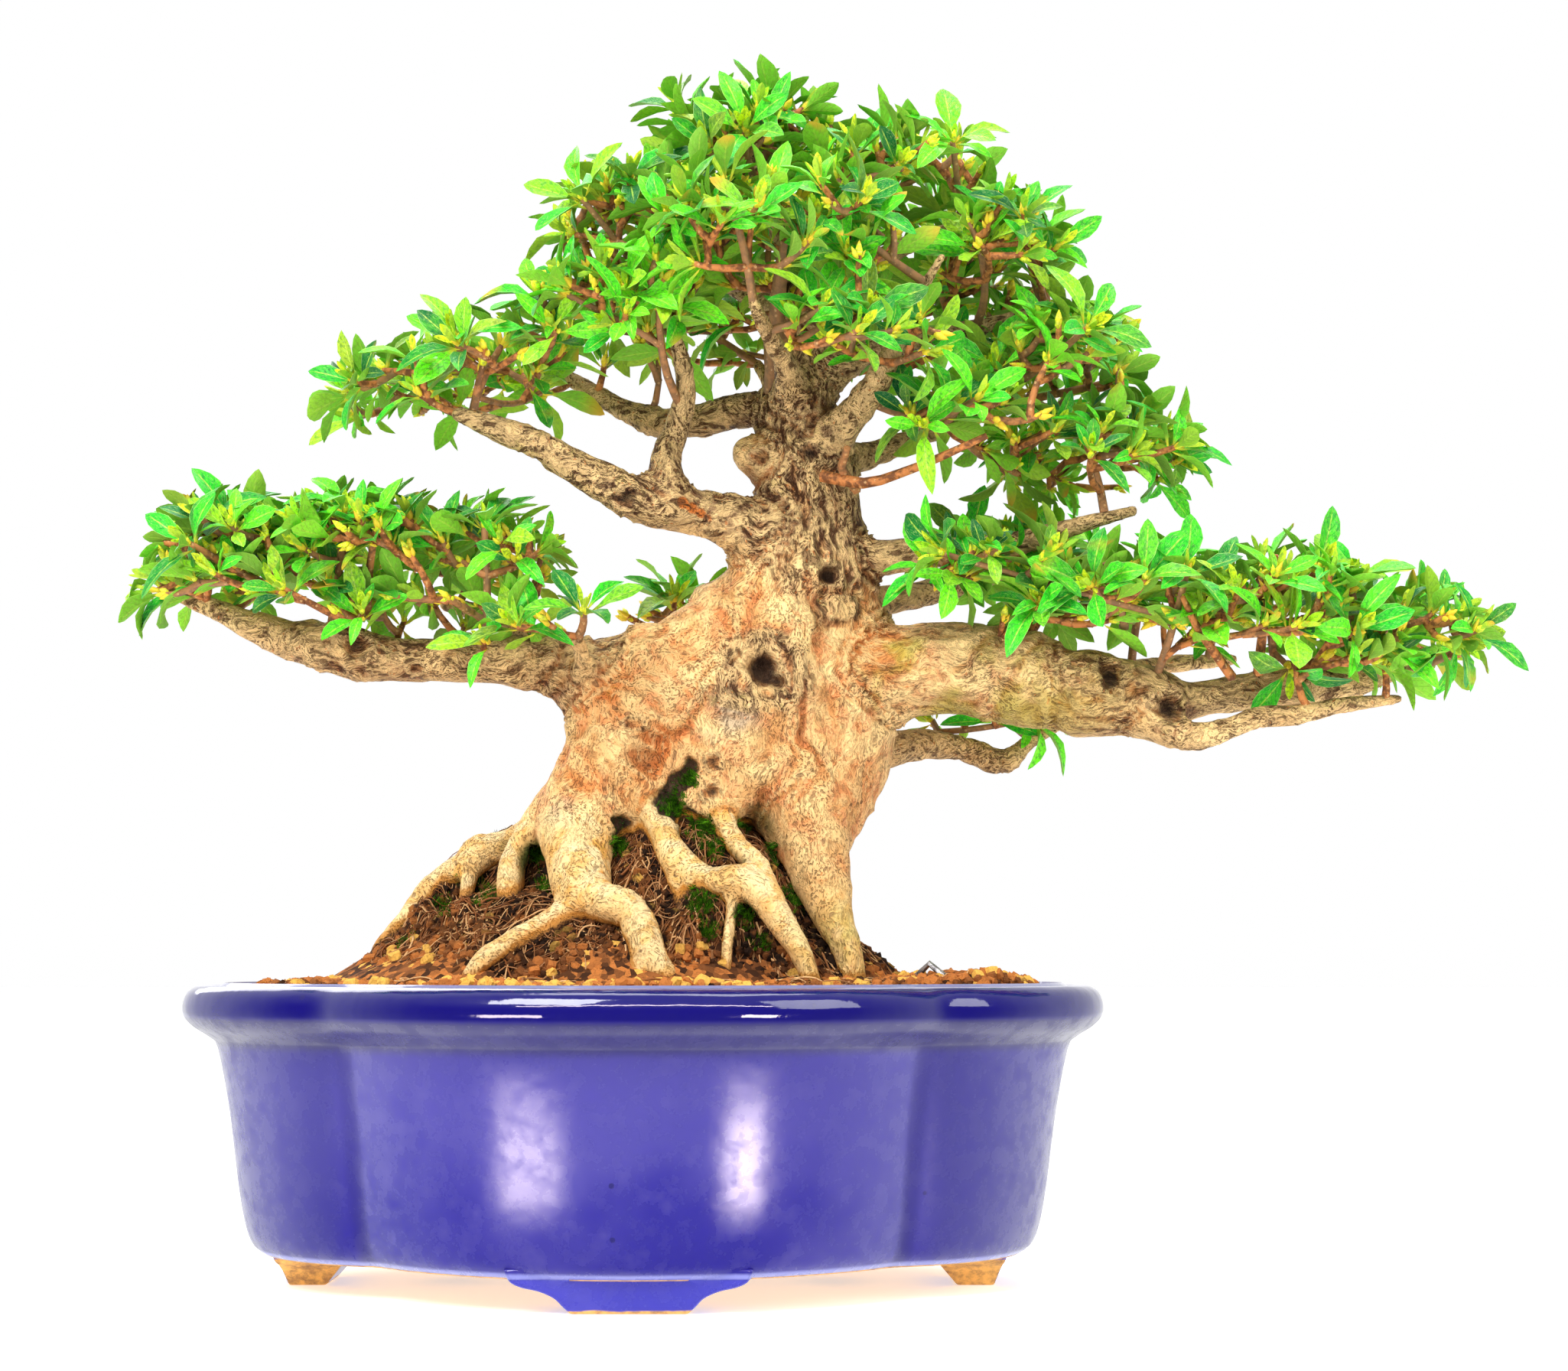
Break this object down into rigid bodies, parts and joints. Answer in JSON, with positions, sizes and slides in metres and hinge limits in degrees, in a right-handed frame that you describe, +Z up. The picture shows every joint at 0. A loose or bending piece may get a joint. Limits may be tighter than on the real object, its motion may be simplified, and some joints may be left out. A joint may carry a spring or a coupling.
{
  "type": "satsuki azalea bonsai",
  "caption": "Old satsuki azalea bonsai with exposed roots, a thick pale trunk, low side limbs and a leafy crown, in a blue glazed lobed pot.",
  "frame": {"origin": "on the ground, under the middle of the whole object", "axes": "+X to the right as seen from the front, -Y towards the front of the pot, +Z up"},
  "size_m": [0.4204, 0.2152, 0.3657],
  "materials": {
    "pot_glaze": "glossy cobalt glaze, bare tan clay on the feet and underside",
    "soil_grain": "rough granules of reddish baked clay",
    "bark": "smooth tan bark, flaky and darker on the branches",
    "leaf": "fine-haired green leaf, satin",
    "wire_metal": "dull grey",
    "screen_mesh": "matt black"
  },
  "bodies": {
    "root": {"pot": "pot_glaze", "soil": "soil_grain", "trunk": "bark", "anchor_wire": "wire_metal", "screen_left": "screen_mesh", "screen_right": "screen_mesh", "spray_01": "leaf", "spray_02": "leaf", "spray_03": "leaf", "spray_04": "leaf", "spray_05": "leaf", "spray_06": "leaf", "spray_07": "leaf", "spray_08": "leaf", "spray_09": "leaf", "spray_10": "leaf", "spray_11": "leaf", "spray_12": "leaf", "spray_13": "leaf", "spray_14": "leaf", "spray_15": "leaf", "spray_16": "leaf", "spray_17": "leaf", "spray_18": "leaf", "spray_19": "leaf", "spray_20": "leaf", "spray_21": "leaf", "spray_22": "leaf", "spray_23": "leaf", "spray_24": "leaf", "spray_25": "leaf", "spray_26": "leaf", "spray_27": "leaf", "spray_28": "leaf", "spray_29": "leaf", "spray_30": "leaf", "spray_31": "leaf", "spray_32": "leaf", "spray_33": "leaf", "spray_34": "leaf", "spray_35": "leaf", "spray_36": "leaf", "spray_37": "leaf", "spray_38": "leaf", "spray_39": "leaf", "spray_40": "leaf", "spray_41": "leaf", "spray_42": "leaf", "spray_43": "leaf", "spray_44": "leaf", "spray_45": "leaf"}
  },
  "joints": []
}
